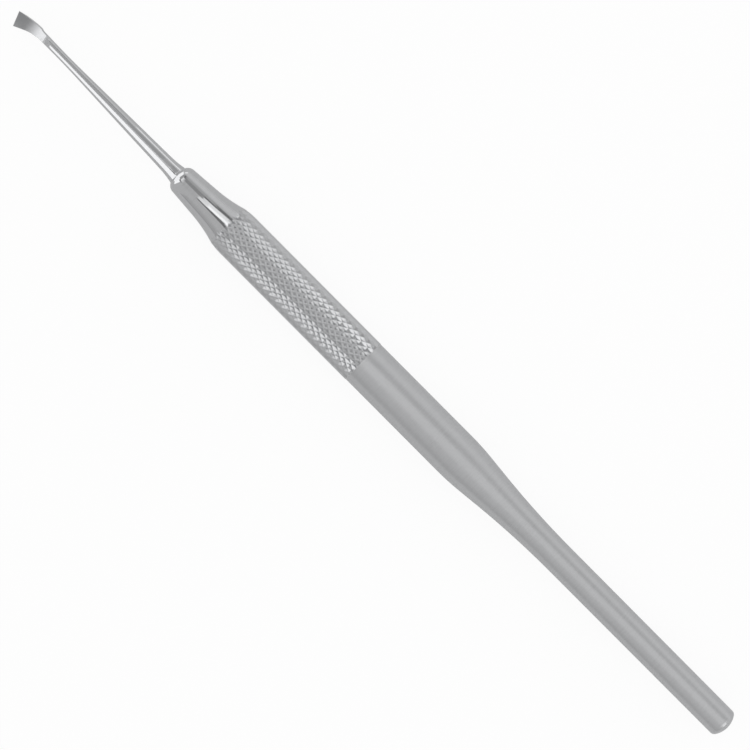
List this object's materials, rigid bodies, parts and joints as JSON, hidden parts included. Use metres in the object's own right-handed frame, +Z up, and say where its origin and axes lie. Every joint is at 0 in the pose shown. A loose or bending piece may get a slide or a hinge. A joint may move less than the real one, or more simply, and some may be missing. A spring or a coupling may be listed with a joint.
{
  "type": "dental scaler",
  "caption": "Hand scaler for dental work: slim turned steel handle with a diamond knurled grip, a tapered polished shank and a small flat blade turned to one side.",
  "frame": {"origin": "under the middle of the instrument's length, on the surface that it lies on", "axes": "+X along the handle toward the butt, -X toward the blade, +Z up, +Y away from the side that the blade turns to"},
  "size_m": [0.1612, 0.008, 0.008],
  "materials": {
    "steel": "satin handle, polished nose, shank and blade, matte ground cutting face"
  },
  "bodies": {
    "root": {"scaler": "steel"}
  },
  "joints": []
}
